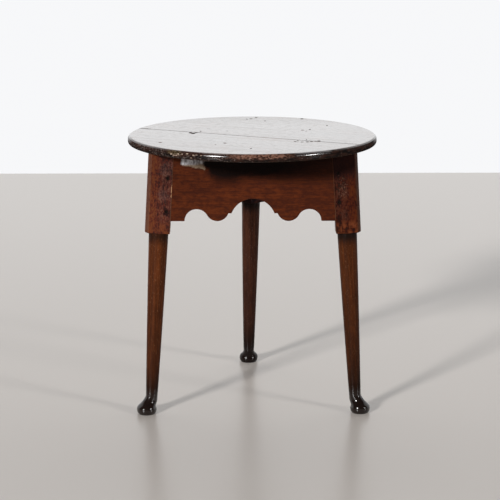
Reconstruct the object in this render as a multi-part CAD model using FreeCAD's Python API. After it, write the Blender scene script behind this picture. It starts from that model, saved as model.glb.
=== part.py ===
# Cricket table: a round top of two boards on three raked legs, with three shaped friezes
# tenoned and pegged between the leg blocks. Millimetres, +Z up, the floor at Z 0, and the
# top's axis on Z. The front frieze faces -Y.
import FreeCAD
import Part
import math
import os

V = FreeCAD.Vector

# Overall sizes
TABLE_HEIGHT = 690.0
TOP_DIAMETER = 632.0
TOP_THICKNESS = 20.0

# Edge of the top: a bull nose with a larger round above than below
EDGE_ROUND_UPPER = 9.0
EDGE_ROUND_LOWER = 6.0

# Joint between the two boards, seen from above
JOINT_ANGLE = -26.0
JOINT_OFFSET = 37.0
JOINT_GAP = 0.4

# Dowels hidden in the board joint
DOWEL_DIAMETER = 10.0
DOWEL_LENGTH = 80.0
DOWEL_SPACING = 180.0

# How far the top stands out past the leg blocks, and how far the legs lean out, in degrees
TOP_OVERHANG = 22.0
LEG_RAKE = 3.75

# Five-sided leg block: how far its faces and its frieze shoulders stand from the leg's axis,
# the width of its outer facet, and how far it goes on below the friezes
BLOCK_FACE_OFFSET = 25.2
BLOCK_END_OFFSET = 28.7
BLOCK_FACET_WIDTH = 17.0
BLOCK_DROP = 32.5

# Turned taper below the block
SHOULDER_INSET = 0.6
TAPER_ROOT = 3.0
LEG_SWELL = 0.5
ANKLE_DIAMETER = 29.8

# How far two legs' tapers lean sideways out of line with their blocks, in degrees
BACK_LEG_SWAY = 0.75
FRONT_LEFT_LEG_SWAY = 0.7

# Pad foot, turned on its own upright axis outside the leg's axis: round at the sole, at its
# widest and at the brow, then sloping up through the throat to meet the ankle
FOOT_OFFSET = 12.0
SOLE_DIAMETER = 43.0
FOOT_DIAMETER = 50.6
FOOT_WIDEST_HEIGHT = 12.0
BROW_DIAMETER = 46.4
BROW_RISE = 7.8
THROAT_DIAMETER = 23.6
THROAT_RISE = 11.2
ANKLE_RISE = 14.0

# Friezes, and the compass-drawn pattern of their lower edge
FRIEZE_HEIGHT = 173.5
FRIEZE_THICKNESS = 20.0
FRIEZE_FOOT_LENGTH = 35.0
NOTCH_RADIUS = 30.0
LOBE_RADIUS = 29.0
QUIRK_HEIGHT = 19.5
QUIRK_WIDTH = 8.0
ARCH_RISE = 56.0

# Tenons on the friezes
TENON_LENGTH = 28.0
TENON_THICKNESS = 9.0
TENON_TOP_SHOULDER = 22.0
TENON_BOTTOM_SHOULDER = 14.0
TENON_CLEARANCE = 0.15
MORTISE_EXTRA_DEPTH = 1.5

# Pegs through the tenons: the upper ones measured from the tenon's top, the lower ones from
# its bottom. They differ at the two ends of a frieze, so that the pegs that come into one
# block from its two faces pass each other.
PEG_DIAMETER = 8.0
PEG_LENGTH = 30.0
PEG_SETBACK = 12.0
PEG_CLEARANCE = 0.1
LEFT_UPPER_PEG_DROP = 44.0
LEFT_LOWER_PEG_RISE = 9.5
RIGHT_UPPER_PEG_DROP = 32.0
RIGHT_LOWER_PEG_RISE = 32.5

# Pegs down through the top into the frame: outside the axes of the legs, and along the friezes
TOP_PEG_DIAMETER = 9.0
TOP_PEG_DEPTH = 42.0
TOP_PEG_OUTSET = 6.0
FRONT_FRIEZE_PEG_PLACE = -69.0
RIGHT_FRIEZE_PEG_PLACE = -11.0
LEFT_FRIEZE_PEG_PLACE = -25.0

# Which way the back leg stands from the table's axis, in degrees
BACK_LEG_ANGLE = 90.0

# Each leg in turn, counted from the back one, with its sway
LEGS = {"back": BACK_LEG_SWAY, "front_left": FRONT_LEFT_LEG_SWAY, "front_right": 0}
# The frieze that follows each leg, with the place of its top peg along it
FRIEZES = {
    "left": LEFT_FRIEZE_PEG_PLACE,
    "front": FRONT_FRIEZE_PEG_PLACE,
    "right": RIGHT_FRIEZE_PEG_PLACE,
}

# Sizes that follow from those above
UP = V(0, 0, 1)
FRAME_TOP = TABLE_HEIGHT - TOP_THICKNESS
BLOCK_FOOT = FRAME_TOP - FRIEZE_HEIGHT - BLOCK_DROP
BROW_HEIGHT = FOOT_WIDEST_HEIGHT + BROW_RISE
THROAT_HEIGHT = BROW_HEIGHT + THROAT_RISE
ANKLE_HEIGHT = THROAT_HEIGHT + ANKLE_RISE
BEYOND = 2 * (TABLE_HEIGHT + TOP_DIAMETER)

# The legs stand evenly round the table's axis, with a frieze midway between each two
BETWEEN_LEGS = 360 / len(LEGS)
BETWEEN_FRIEZE_AND_LEG = BETWEEN_LEGS / 2
LEG_ANGLES = {name: BACK_LEG_ANGLE + place * BETWEEN_LEGS for place, name in enumerate(LEGS)}
FIRST_FRIEZE_ANGLE = BACK_LEG_ANGLE + BETWEEN_FRIEZE_AND_LEG
FRIEZE_ANGLES = {name: FIRST_FRIEZE_ANGLE + place * BETWEEN_LEGS for place, name in enumerate(FRIEZES)}

# A block's two outer faces look the way that the friezes beside it do, and lean back with the leg
RAKE = math.radians(LEG_RAKE)
CORNER = math.radians(BETWEEN_FRIEZE_AND_LEG)
FACE_ANGLE = math.atan2(math.sin(CORNER), math.cos(CORNER) / math.cos(RAKE))
FACE_LEAN = math.asin(math.cos(FACE_ANGLE) * math.sin(RAKE))
FACE_NORMAL = V(math.cos(FACE_ANGLE), math.sin(FACE_ANGLE), 0)
FACE_ALONG = V(math.sin(FACE_ANGLE), -math.cos(FACE_ANGLE), 0)
FACET_OFFSET = (BLOCK_FACE_OFFSET - BLOCK_FACET_WIDTH / 2 * FACE_NORMAL.y) / FACE_NORMAL.x

# Distances from the table's axis: of a leg's axis, the peg beside it and a frieze's face under
# the top, and of a foot on the floor
LEG_CIRCLE_RADIUS = TOP_DIAMETER / 2 - TOP_OVERHANG - FACET_OFFSET
LEG_PEG_RADIUS = LEG_CIRCLE_RADIUS + TOP_PEG_OUTSET
FACE_DISTANCE = LEG_CIRCLE_RADIUS * math.cos(CORNER) + BLOCK_FACE_OFFSET / math.cos(FACE_LEAN)
FRIEZE_MIDDLE = FACE_DISTANCE - FRIEZE_THICKNESS / 2
FOOT_CIRCLE_RADIUS = LEG_CIRCLE_RADIUS + FRAME_TOP * math.tan(RAKE) + FOOT_OFFSET

# Places of the tenons and their pegs along the leg, below the frame's top
TENON_TOP = -TENON_TOP_SHOULDER
TENON_BOTTOM = -FRIEZE_HEIGHT + TENON_BOTTOM_SHOULDER
TENON_PEGS = {
    "left": {"upper": TENON_TOP - LEFT_UPPER_PEG_DROP, "lower": TENON_BOTTOM + LEFT_LOWER_PEG_RISE},
    "right": {"upper": TENON_TOP - RIGHT_UPPER_PEG_DROP, "lower": TENON_BOTTOM + RIGHT_LOWER_PEG_RISE},
}


def mirrored(point):
    """A point or direction of a leg's section, on the other side of the leg's middle plane."""
    return V(point.x, -point.y, point.z)


def turned(shape, angle):
    """A copy of a shape, turned about the table's axis."""
    copy = shape.copy()
    copy.rotate(V(0, 0, 0), UP, angle)
    return copy


def placed(shape, placement):
    """A copy of a shape, carried from its own frame into the table's."""
    copy = shape.copy()
    copy.transformShape(placement.toMatrix())
    return copy


def leg_placement(angle):
    """From a leg's own frame (X outward, Z up its axis, origin at its top) to the table's."""
    turn = FreeCAD.Rotation(UP, angle)
    lean = FreeCAD.Rotation(V(0, 1, 0), -LEG_RAKE)
    top = turn.multVec(V(LEG_CIRCLE_RADIUS, 0, 0)) + V(0, 0, FRAME_TOP)
    return FreeCAD.Placement(top, turn.multiply(lean))


def box_between(across, outward, span_across, span_outward, span_up):
    """A box with two level directions of its own, and its span along each of them and up."""
    corner = across * span_across[0] + outward * span_outward[0] + UP * span_up[0]
    one_side = across * (span_across[1] - span_across[0])
    other_side = outward * (span_outward[1] - span_outward[0])
    outline = [corner, corner + one_side, corner + one_side + other_side, corner + other_side, corner]
    return Part.Face(Part.makePolygon(outline)).extrude(UP * (span_up[1] - span_up[0]))


def above_frame():
    """All the room above the underside of the top."""
    everywhere = (-BEYOND, BEYOND)
    return box_between(V(1, 0, 0), V(0, 1, 0), everywhere, everywhere, (FRAME_TOP, BEYOND))


def block_side(end):
    """The block's face that is flush with a frieze's left or right end: its normal, and along it."""
    if end == "left":
        return FACE_NORMAL, FACE_ALONG
    return mirrored(FACE_NORMAL), mirrored(FACE_ALONG)


def tenon(end, root, clearance, extra_depth):
    """A tenon in the frame of the leg that it enters; with clearance and extra depth, its mortise."""
    normal, along = block_side(end)
    outer = BLOCK_FACE_OFFSET - (FRIEZE_THICKNESS - TENON_THICKNESS) / 2
    return box_between(
        along, normal,
        (-BLOCK_END_OFFSET - root, -BLOCK_END_OFFSET + TENON_LENGTH + extra_depth),
        (outer - TENON_THICKNESS - clearance, outer + clearance),
        (TENON_BOTTOM - clearance, TENON_TOP + clearance),
    )


def tenon_peg(end, level, clearance):
    """A peg through a tenon in the frame of the leg; with clearance, its hole."""
    normal, along = block_side(end)
    mouth = along * (PEG_SETBACK - BLOCK_END_OFFSET) + normal * BLOCK_FACE_OFFSET
    mouth = mouth + UP * TENON_PEGS[end][level]
    return Part.makeCylinder(PEG_DIAMETER / 2 + clearance, PEG_LENGTH + clearance, mouth, normal * -1)


def top_peg(radius, sideways, clearance):
    """A peg from the top's face down into the frame, standing along X; with clearance, its hole."""
    foot = V(radius, sideways, FRAME_TOP - TOP_PEG_DEPTH - clearance)
    return Part.makeCylinder(TOP_PEG_DIAMETER / 2 + clearance, TABLE_HEIGHT - foot.z, foot)


def top_pegs(clearance):
    """Every top peg by its name, over the legs and over the friezes; with clearance, their holes."""
    pegs = {}
    for name, angle in LEG_ANGLES.items():
        pegs["top_peg_leg_" + name] = turned(top_peg(LEG_PEG_RADIUS, 0, clearance), angle)
    for name, angle in FRIEZE_ANGLES.items():
        pegs["top_peg_frieze_" + name] = turned(top_peg(FRIEZE_MIDDLE, FRIEZES[name], clearance), angle)
    return pegs


def block():
    """The five-sided block at the head of a leg, in the leg's frame and left long at the top."""
    facet_corner = V(FACET_OFFSET, BLOCK_FACET_WIDTH / 2, 0)
    joint_corner = FACE_NORMAL * BLOCK_FACE_OFFSET - FACE_ALONG * BLOCK_END_OFFSET
    inner_corner = V(-BLOCK_END_OFFSET / FACE_ALONG.x, 0, 0)
    half = [facet_corner, joint_corner]
    outline = half + [inner_corner] + [mirrored(point) for point in reversed(half)] + [facet_corner]
    bottom = UP * (BLOCK_FOOT - FRAME_TOP) / math.cos(RAKE)
    face = Part.Face(Part.makePolygon([point + bottom for point in outline]))
    return face.extrude(UP * FACET_OFFSET - bottom)


def axis_radius(height):
    """How far a leg's axis is from the table's axis at a height."""
    return LEG_CIRCLE_RADIUS + (FRAME_TOP - height) * math.tan(RAKE)


def taper_radius(height):
    """The turned taper's radius at a height, straight but for a slight swell."""
    shoulder_radius = BLOCK_FACE_OFFSET - SHOULDER_INSET
    share = (BLOCK_FOOT - height) / (BLOCK_FOOT - ANKLE_HEIGHT)
    straight = shoulder_radius + (ANKLE_DIAMETER / 2 - shoulder_radius) * share
    return straight + 4 * LEG_SWELL * share * (1 - share)


def level_oval(height, inner, outer, half_width, sway):
    """A level oval across a leg that stands along X, from its inner to its outer reach."""
    sideways = (BLOCK_FOOT - height) * math.tan(math.radians(sway))
    stretch = FreeCAD.Matrix()
    stretch.scale((outer - inner) / 2, half_width, 1)
    stretch.move((inner + outer) / 2, sideways, height)
    return Part.Wire(Part.makeCircle(1).transformGeometry(stretch).Edges)


def taper_section(height, sway):
    """The taper's section at a height."""
    radius = taper_radius(height)
    reach = radius / math.cos(RAKE)
    return level_oval(height, axis_radius(height) - reach, axis_radius(height) + reach, radius, sway)


def taper(sway):
    """The turned taper, from inside the block down to the ankle, of a leg that stands along X."""
    root = BLOCK_FOOT + TAPER_ROOT
    heights = (root, (root + ANKLE_HEIGHT) / 2, ANKLE_HEIGHT)
    return Part.makeLoft([taper_section(height, sway) for height in heights], True)


def pad_foot(sway):
    """The pad foot from the ankle down, of a leg that stands along X."""
    inner_throat = axis_radius(THROAT_HEIGHT) - ANKLE_DIAMETER / 2
    outer_throat = FOOT_CIRCLE_RADIUS + THROAT_DIAMETER / 2
    sections = [
        taper_section(ANKLE_HEIGHT, sway),
        level_oval(THROAT_HEIGHT, inner_throat, outer_throat, ANKLE_DIAMETER / 2, sway),
    ]
    rounds = ((BROW_HEIGHT, BROW_DIAMETER), (FOOT_WIDEST_HEIGHT, FOOT_DIAMETER), (0, SOLE_DIAMETER))
    for height, diameter in rounds:
        inner = FOOT_CIRCLE_RADIUS - diameter / 2
        sections.append(level_oval(height, inner, inner + diameter, diameter / 2, sway))
    return Part.makeLoft(sections, True)


def leg(sway):
    """A leg that stands along X: block, taper and foot in one piece, with its mortises and holes."""
    frame = leg_placement(0)
    solid = placed(block(), frame).fuse(taper(sway).fuse(pad_foot(sway))).cut(above_frame())
    for end, levels in TENON_PEGS.items():
        solid = solid.cut(placed(tenon(end, 0, TENON_CLEARANCE, MORTISE_EXTRA_DEPTH), frame))
        for level in levels:
            solid = solid.cut(placed(tenon_peg(end, level, PEG_CLEARANCE), frame))
    return solid.cut(top_peg(LEG_PEG_RADIUS, 0, PEG_CLEARANCE)).removeSplitter()


def frieze_front(joint_place):
    """The front of a frieze, in its own frame: X along it from the middle, Y up it from its top.

    joint_place is how far from the middle the joint with the block is at the lower edge.
    """
    low = -FRIEZE_HEIGHT
    notch_centre = V(joint_place - FRIEZE_FOOT_LENGTH - NOTCH_RADIUS, low, 0)
    notch_to_lobe = math.sqrt(NOTCH_RADIUS ** 2 + 2 * NOTCH_RADIUS * LOBE_RADIUS)
    lobe_centre = V(notch_centre.x - notch_to_lobe, low + LOBE_RADIUS, 0)
    notch_share = NOTCH_RADIUS / (NOTCH_RADIUS + LOBE_RADIUS)
    meeting = notch_centre + (lobe_centre - notch_centre) * notch_share
    lobe_reach = math.sqrt(LOBE_RADIUS ** 2 - (LOBE_RADIUS - QUIRK_HEIGHT) ** 2)
    lobe_end = V(lobe_centre.x - lobe_reach, low + QUIRK_HEIGHT, 0)
    arch_end = lobe_end - V(QUIRK_WIDTH, 0, 0)
    notch_mouth = notch_centre + V(NOTCH_RADIUS, 0, 0)
    notch_crown = notch_centre + V(0, NOTCH_RADIUS, 0)
    lobe_foot = lobe_centre - V(0, LOBE_RADIUS, 0)
    far_foot = V(joint_place + BLOCK_END_OFFSET, low, 0)
    far_top = V(far_foot.x, FRIEZE_THICKNESS, 0)

    def other(point):
        return V(-point.x, point.y, 0)

    half = [
        (far_top, far_foot),
        (far_foot, notch_mouth),
        (notch_mouth, notch_crown, meeting),
        (meeting, lobe_foot, lobe_end),
        (lobe_end, arch_end),
    ]
    arch = (arch_end, V(0, low + ARCH_RISE, 0), other(arch_end))
    other_half = [[other(point) for point in reversed(run)] for run in reversed(half)]
    runs = half + [arch] + other_half + [(other(far_top), far_top)]
    edges = [Part.makeLine(*run) if len(run) == 2 else Part.Arc(*run).toShape() for run in runs]
    return Part.Face(Part.Wire(edges))


def frieze_placement():
    """From a frieze's own frame (X along, Y up its face, Z out of it) to one that faces along X."""
    along = V(0, 1, 0)
    up_face = V(-math.sin(FACE_LEAN), 0, math.cos(FACE_LEAN))
    rotation = FreeCAD.Rotation(along, up_face, along.cross(up_face), "XYZ")
    return FreeCAD.Placement(V(FACE_DISTANCE, 0, FRAME_TOP), rotation)


def frieze_ends():
    """The frames of the legs at the two ends of a frieze that faces along X."""
    side = BETWEEN_FRIEZE_AND_LEG
    return {"left": leg_placement(-side), "right": leg_placement(side)}


def frieze(peg_place):
    """A frieze that faces along X, with a tenon at each end and its peg holes."""
    frame = frieze_placement()
    normal, along = block_side("right")
    joint_foot = normal * BLOCK_FACE_OFFSET - along * BLOCK_END_OFFSET - UP * FRIEZE_HEIGHT
    joint_place = frame.inverse().multVec(frieze_ends()["right"].multVec(joint_foot)).x
    solid = placed(frieze_front(joint_place).extrude(V(0, 0, -FRIEZE_THICKNESS)), frame)
    everywhere = (-BEYOND, BEYOND)
    for end, leg_frame in frieze_ends().items():
        normal, along = block_side(end)
        past_joint = box_between(along, normal, (-BLOCK_END_OFFSET, BEYOND), everywhere, everywhere)
        solid = solid.cut(placed(past_joint, leg_frame))
    for end, leg_frame in frieze_ends().items():
        solid = solid.fuse(placed(tenon(end, TENON_THICKNESS, 0, 0), leg_frame))
        for level in TENON_PEGS[end]:
            solid = solid.cut(placed(tenon_peg(end, level, PEG_CLEARANCE), leg_frame))
    solid = solid.cut(above_frame())
    return solid.cut(top_peg(FRIEZE_MIDDLE, peg_place, PEG_CLEARANCE)).removeSplitter()


def round_top():
    """The whole round top, before it is parted into boards."""
    radius = TOP_DIAMETER / 2
    upper = min(EDGE_ROUND_UPPER, TOP_THICKNESS / 2)
    lower = min(EDGE_ROUND_LOWER, TOP_THICKNESS / 3)
    upper_centre = V(radius - upper, 0, TABLE_HEIGHT - upper)
    lower_centre = V(radius - lower, 0, FRAME_TOP + lower)
    slant = V(1, 0, 1).normalize()
    upper_face = upper_centre + UP * upper
    upper_side = upper_centre + V(upper, 0, 0)
    lower_face = lower_centre - UP * lower
    lower_side = lower_centre + V(lower, 0, 0)
    lower_middle = lower_centre + V(slant.x, 0, -slant.z) * lower
    axis_low = V(0, 0, FRAME_TOP)
    axis_high = V(0, 0, TABLE_HEIGHT)
    profile = Part.Wire([
        Part.makeLine(axis_low, lower_face),
        Part.Arc(lower_face, lower_middle, lower_side).toShape(),
        Part.makeLine(lower_side, upper_side),
        Part.Arc(upper_side, upper_centre + slant * upper, upper_face).toShape(),
        Part.makeLine(upper_face, axis_high),
        Part.makeLine(axis_high, axis_low),
    ])
    return Part.Face(profile).revolve(V(0, 0, 0), UP, 360)


def joint_placement():
    """From the board joint's frame (X along it, Y to the back, Z up from mid-board) to the table's."""
    turn = FreeCAD.Rotation(UP, JOINT_ANGLE)
    middle = turn.multVec(V(0, -JOINT_OFFSET, 0)) + UP * (FRAME_TOP + TOP_THICKNESS / 2)
    return FreeCAD.Placement(middle, turn)


def board_dowels(clearance):
    """Every dowel across the board joint by its name; with clearance, their holes."""
    half = DOWEL_LENGTH / 2 + clearance
    dowels = {}
    for name, place in (("left", -DOWEL_SPACING), ("middle", 0), ("right", DOWEL_SPACING)):
        end = V(place, -half, 0)
        dowel = Part.makeCylinder(DOWEL_DIAMETER / 2 + clearance, 2 * half, end, V(0, 1, 0))
        dowels["board_dowel_" + name] = placed(dowel, joint_placement())
    return dowels


def board(side):
    """The front board (side -1) or the back board (side 1) of the top, with its holes."""
    span = sorted((side * JOINT_GAP / 2, side * BEYOND))
    half = box_between(V(1, 0, 0), V(0, 1, 0), (-BEYOND, BEYOND), span, (-BEYOND, BEYOND))
    solid = round_top().common(placed(half, joint_placement()))
    holes = list(board_dowels(PEG_CLEARANCE).values()) + list(top_pegs(PEG_CLEARANCE).values())
    for hole in holes:
        solid = solid.cut(hole)
    return solid.removeSplitter()


def pieces():
    """Every piece of the table by its name."""
    made = {"top_front_board": board(-1), "top_back_board": board(1)}
    made.update(board_dowels(0))
    made.update(top_pegs(0))
    for name, angle in LEG_ANGLES.items():
        made["leg_" + name] = turned(leg(LEGS[name]), angle)
    for name, angle in FRIEZE_ANGLES.items():
        made["frieze_" + name] = turned(frieze(FRIEZES[name]), angle)
        for end, leg_frame in frieze_ends().items():
            for level in TENON_PEGS[end]:
                peg = placed(tenon_peg(end, level, 0), leg_frame)
                made["tenon_peg_%s_%s_%s" % (name, end, level)] = turned(peg, angle)
    return made


os.makedirs("parts", exist_ok=True)
for piece_name, piece in pieces().items():
    piece.exportStep("parts/%s.step" % piece_name)
    print(piece_name, "solids", len(piece.Solids), "valid", piece.isValid(), "mm3", round(piece.Volume))
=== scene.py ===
import math

import bmesh
import bpy
from mathutils import Matrix, Vector


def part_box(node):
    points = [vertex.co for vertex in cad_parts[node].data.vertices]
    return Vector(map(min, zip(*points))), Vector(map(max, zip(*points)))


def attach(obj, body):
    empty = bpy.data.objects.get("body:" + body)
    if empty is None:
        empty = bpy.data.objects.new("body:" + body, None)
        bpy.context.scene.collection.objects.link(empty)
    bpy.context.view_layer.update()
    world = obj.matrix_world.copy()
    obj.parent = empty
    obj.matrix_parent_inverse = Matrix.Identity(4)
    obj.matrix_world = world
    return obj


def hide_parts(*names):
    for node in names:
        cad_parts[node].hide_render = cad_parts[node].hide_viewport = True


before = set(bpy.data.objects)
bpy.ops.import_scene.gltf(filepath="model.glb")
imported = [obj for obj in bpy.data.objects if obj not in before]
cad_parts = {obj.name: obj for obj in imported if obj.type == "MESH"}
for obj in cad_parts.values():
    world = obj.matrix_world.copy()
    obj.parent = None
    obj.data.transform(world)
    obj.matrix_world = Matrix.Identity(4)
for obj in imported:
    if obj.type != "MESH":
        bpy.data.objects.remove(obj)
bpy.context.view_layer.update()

# Camera
# It stands four and a half metres in front of the table, at twice the table's height, and looks
# down at it through a long lens.
CAMERA_PLACE = (-0.0578, -4.5540, 1.4015)
CAMERA_TILT = math.radians(77.448)
CAMERA_TURN = math.radians(-0.656)
CAMERA_LENS = 130.13

bpy.ops.object.camera_add(location=CAMERA_PLACE, rotation=(CAMERA_TILT, 0, CAMERA_TURN))
bpy.context.scene.camera = bpy.context.object
bpy.context.scene.camera.data.lens = CAMERA_LENS

# Legs
# Each leg is one length of oak. Its head is a five-sided block with two mortises for the friezes.
# Below the block it is turned to a long taper, and then on a second axis to an off-centre pad foot.
BOARD_LOW, BOARD_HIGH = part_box("top_back_board")
TABLE_HEIGHT = BOARD_HIGH.z
FRAME_TOP = BOARD_LOW.z
UP = Vector((0, 0, 1))

LEG_ANGLES = {
    "back": math.radians(90),
    "front_left": math.radians(210),
    "front_right": math.radians(330),
}
LEG_RAKE = math.radians(3.75)
LEG_SWAYS = {"back": math.radians(0.75), "front_left": math.radians(0.7), "front_right": 0}
LEG_CIRCLE_RADIUS = 0.258372

BLOCK_HEIGHT = 0.206
BLOCK_LENGTH = BLOCK_HEIGHT / math.cos(LEG_RAKE)
BLOCK_FOOT = FRAME_TOP - BLOCK_HEIGHT
BLOCK_FACE_OFFSET = 0.0252
BLOCK_END_OFFSET = 0.0287
BLOCK_FACET_WIDTH = 0.017
BLOCK_EDGE_ROUND = 0.003
BETWEEN_FRIEZE_AND_LEG = math.radians(60)

SHOULDER_RADIUS = 0.0246
ANKLE_RADIUS = 0.0149
ANKLE_HEIGHT = 0.045
LEG_SWELL = 0.0005
FOOT_CIRCLE_RADIUS = 0.314286
FOOT_ROUNDS = ((0, 0.0208), (0.004, 0.0237), (0.012, 0.0251), (0.0198, 0.0230))
THROAT_HEIGHT = 0.031
THROAT_REACH = 0.0118

TENON_LENGTH = 0.028
TENON_THICKNESS = 0.009
TENON_INSET = 0.0055
TENON_TOP = -0.022
TENON_BOTTOM = -0.1595
TENON_ROOT = 0.009
TENON_CLEARANCE = 0.00015
MORTISE_EXTRA_DEPTH = 0.0015

PEG_RADIUS = 0.004
PEG_LENGTH = 0.03
PEG_SETBACK = 0.012
PEG_CLEARANCE = 0.0001
TENON_PEGS = {"left": {"upper": -0.066, "lower": -0.150}, "right": {"upper": -0.054, "lower": -0.127}}

TOP_PEG_RADIUS = 0.0045
TOP_PEG_DEPTH = 0.042
TOP_PEG_LENGTH = TABLE_HEIGHT - FRAME_TOP + TOP_PEG_DEPTH
TOP_PEG_OUTSET = 0.006
LEG_PEG_CIRCLE_RADIUS = LEG_CIRCLE_RADIUS + TOP_PEG_OUTSET

MERGE_DISTANCE = 0.000005
TOUCH_DISTANCE = 0.0005
SHARP_ANGLE = math.radians(35)
HOLE_SIDES = 32
TURNING_SIDES = 64
TAPER_STEPS = 12

face_angle = math.atan2(
    math.sin(BETWEEN_FRIEZE_AND_LEG), math.cos(BETWEEN_FRIEZE_AND_LEG) / math.cos(LEG_RAKE)
)
FACE_NORMAL = Vector((math.cos(face_angle), math.sin(face_angle), 0))
FACE_ALONG = Vector((math.sin(face_angle), -math.cos(face_angle), 0))
FACET_OFFSET = (BLOCK_FACE_OFFSET - BLOCK_FACET_WIDTH / 2 * FACE_NORMAL.y) / FACE_NORMAL.x
FACET_EDGE = Vector((FACET_OFFSET, BLOCK_FACET_WIDTH / 2, 0))
JOINT_EDGE = FACE_NORMAL * BLOCK_FACE_OFFSET - FACE_ALONG * BLOCK_END_OFFSET


def only(piece):
    """Make a piece the only selected and active one."""
    bpy.ops.object.select_all(action="DESELECT")
    piece.select_set(True)
    bpy.context.view_layer.objects.active = piece


def settle(name, place=Matrix.Identity(4)):
    """Name the piece just added, move it by a matrix and put its place into its mesh."""
    piece = bpy.context.object
    piece.name = name
    piece.data.name = name
    piece.matrix_world = place @ piece.matrix_basis
    only(piece)
    bpy.ops.object.transform_apply()
    return piece


def edit(piece):
    """Go into edit mode on one piece, with all of it selected."""
    only(piece)
    bpy.ops.object.mode_set(mode="EDIT")
    bpy.ops.mesh.select_mode(type="VERT")
    bpy.ops.mesh.select_all(action="SELECT")


def leave():
    """Go back to object mode."""
    bpy.ops.object.mode_set(mode="OBJECT")


def face_outward():
    """In edit mode, turn all faces outward and go back to object mode."""
    bpy.ops.mesh.select_all(action="SELECT")
    bpy.ops.mesh.normals_make_consistent(inside=False)
    leave()


def at_height(height):
    """A test for points that lie at a height."""
    return lambda point: abs(point.z - height) < TOUCH_DISTANCE


def pick_edges(piece, test):
    """In edit mode, select the edges whose two ends pass a test."""
    bpy.ops.mesh.select_mode(type="EDGE")
    bpy.ops.mesh.select_all(action="DESELECT")
    mesh = bmesh.from_edit_mesh(piece.data)
    for edge in mesh.edges:
        if test(edge.verts[0].co) and test(edge.verts[1].co):
            edge.select_set(True)
    bmesh.update_edit_mesh(piece.data)


def saw(piece, point, normal):
    """Cut a piece along a plane and drop what lies outside it."""
    edit(piece)
    bpy.ops.mesh.bisect(
        plane_co=point,
        plane_no=normal.normalized(),
        use_fill=True,
        clear_outer=True,
        threshold=MERGE_DISTANCE,
    )
    leave()


def apply_modifier(piece, kind, **settings):
    """Add a modifier to a piece and apply it."""
    modifier = piece.modifiers.new(kind.lower(), kind)
    for key, value in settings.items():
        setattr(modifier, key, value)
    only(piece)
    bpy.ops.object.modifier_apply(modifier=modifier.name)


def combine(piece, other, operation):
    """Add another solid to a piece or cut it out of it, and remove the other."""
    apply_modifier(
        piece, "BOOLEAN", operation=operation, solver="EXACT", object=other, material_mode="TRANSFER"
    )
    bpy.data.objects.remove(other)


def smooth(piece):
    """Shade a piece smooth, with its flat faces flat and its sharp edges kept."""
    edit(piece)
    bpy.ops.mesh.remove_doubles(threshold=MERGE_DISTANCE)
    face_outward()
    bpy.ops.object.shade_smooth_by_angle(angle=SHARP_ANGLE)
    apply_modifier(piece, "WEIGHTED_NORMAL", keep_sharp=True, weight=80)


def leg_frame(angle):
    """From a leg's own frame (X outward, Z up its axis, origin at its top) to the table's."""
    top = Matrix.Translation((LEG_CIRCLE_RADIUS, 0, FRAME_TOP))
    return Matrix.Rotation(angle, 4, "Z") @ top @ Matrix.Rotation(-LEG_RAKE, 4, "Y")


def mirrored(point):
    """A point or direction of a leg's section, on the other side of the leg's middle plane."""
    return Vector((point.x, -point.y, point.z))


def block_side(end):
    """The block's face that is flush with a frieze's left or right end: its normal, and along it."""
    if end == "left":
        return FACE_NORMAL, FACE_ALONG
    return mirrored(FACE_NORMAL), mirrored(FACE_ALONG)


def tenon(end, clearance, extra_depth, place):
    """A tenon, with a root behind the joint; with clearance and extra depth, its mortise."""
    normal, along = block_side(end)
    start = -BLOCK_END_OFFSET - TENON_ROOT
    stop = -BLOCK_END_OFFSET + TENON_LENGTH + extra_depth
    outer = BLOCK_FACE_OFFSET - TENON_INSET + clearance
    inner = BLOCK_FACE_OFFSET - TENON_INSET - TENON_THICKNESS - clearance
    low = TENON_BOTTOM - clearance
    high = TENON_TOP + clearance
    middle = (along * (start + stop) + normal * (inner + outer) + UP * (low + high)) / 2
    turn = Matrix.Rotation(math.atan2(along.y, along.x), 4, "Z")
    bpy.ops.mesh.primitive_cube_add(size=1, scale=(stop - start, outer - inner, high - low))
    return settle("tenon", place @ Matrix.Translation(middle) @ turn)


def peg_mouth(end, level):
    """Where a peg through a tenon goes into the block's face, in the leg's frame."""
    normal, along = block_side(end)
    across = along * (PEG_SETBACK - BLOCK_END_OFFSET) + normal * BLOCK_FACE_OFFSET
    return across + UP * TENON_PEGS[end][level]


def peg_frame(end, level, depth):
    """A point so deep on the axis of a peg through a tenon, with Z out of the block's face."""
    normal = block_side(end)[0]
    turn = normal.to_track_quat("Z", "Y").to_matrix().to_4x4()
    return Matrix.Translation(peg_mouth(end, level) - normal * depth) @ turn


def bored_hole(radius, length, place):
    """The hole for a round peg or dowel, with its clearance, along Z about a place."""
    bpy.ops.mesh.primitive_cylinder_add(
        vertices=HOLE_SIDES, radius=radius + PEG_CLEARANCE, depth=length + 2 * PEG_CLEARANCE
    )
    return settle("hole", place)


def tenon_peg_hole(end, level, place):
    """The hole for a peg through a tenon."""
    return bored_hole(PEG_RADIUS, PEG_LENGTH, place @ peg_frame(end, level, PEG_LENGTH / 2))


def top_peg_hole(angle, radius, sideways):
    """The upright hole for a peg that holds the top down, so far out at an angle and sideways."""
    middle = Matrix.Translation((radius, sideways, TABLE_HEIGHT - TOP_PEG_LENGTH / 2))
    return bored_hole(TOP_PEG_RADIUS, TOP_PEG_LENGTH, Matrix.Rotation(angle, 4, "Z") @ middle)


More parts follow.
